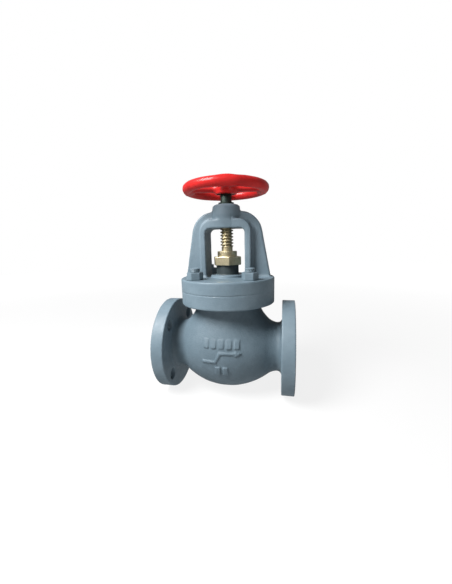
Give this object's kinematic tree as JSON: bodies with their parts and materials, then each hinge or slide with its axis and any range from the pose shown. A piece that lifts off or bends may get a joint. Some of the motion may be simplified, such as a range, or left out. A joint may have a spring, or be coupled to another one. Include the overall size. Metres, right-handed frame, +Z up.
{
  "type": "globe valve",
  "caption": "Flanged cast-iron globe valve with a bolted bonnet, outside-screw yoke, brass stem and gland nut, and a rising red handwheel.",
  "frame": {"origin": "centre of the inlet flange's face, on the flow axis", "axes": "+X along the flow from inlet to outlet, +Z up along the stem to the handwheel, -Y the side that carries the flow mark"},
  "size_m": [0.22, 0.155, 0.3555],
  "materials": {
    "painted_casting": "blue-grey paint over as-cast iron, satin",
    "painted_fastener": "blue-grey paint over steel, satin",
    "red_paint": "glossy red enamel",
    "brass": "turned, slightly dull",
    "bronze": "turned, satin",
    "steel": "zinc plated",
    "gasket": "compressed fibre sheet",
    "packing": "graphited square braid"
  },
  "bodies": {
    "valve_body": {"belly_lower": "painted_casting", "belly_upper": "painted_casting", "body_neck": "painted_casting", "body_flange": "painted_casting", "inlet_flange": "painted_casting", "outlet_flange": "painted_casting", "partition": "painted_casting", "bonnet": "painted_casting", "stuffing_box": "painted_casting", "yoke": "painted_casting", "seat_ring": "bronze", "bonnet_gasket": "gasket", "bonnet_stud_1": "painted_fastener", "bonnet_stud_2": "painted_fastener", "bonnet_stud_3": "painted_fastener", "bonnet_stud_4": "painted_fastener", "bonnet_nut_1": "painted_fastener", "bonnet_nut_2": "painted_fastener", "bonnet_nut_3": "painted_fastener", "bonnet_nut_4": "painted_fastener", "back_seat_bush": "bronze", "packing_washer": "brass", "packing_ring_1": "packing", "packing_ring_2": "packing", "packing_ring_3": "packing", "packing_ring_4": "packing", "gland": "brass", "gland_nut": "brass", "yoke_bush": "brass", "yoke_bush_screw": "steel"},
    "disc_assembly": {"disc": "bronze", "disc_nut": "bronze", "disc_lock_screw": "steel"},
    "stem_assembly": {"stem": "brass", "handwheel": "red_paint", "wheel_washer": "steel", "wheel_nut": "steel"}
  },
  "joints": [
    {"name": "disc_lift", "type": "slide", "parent": "valve_body", "child": "disc_assembly", "axis": [0, 0, 1], "range_m": [0, 0.015]},
    {"name": "wheel_turn", "type": "hinge", "parent": "disc_assembly", "child": "stem_assembly", "pos_m": [0.11, 0, 0.25], "axis": [0, 0, 1], "range_deg": [0, 1080]}
  ],
  "couplings": [
    {"joint": "disc_lift", "follows": "wheel_turn", "m_per_rad": 0.00079577}
  ]
}
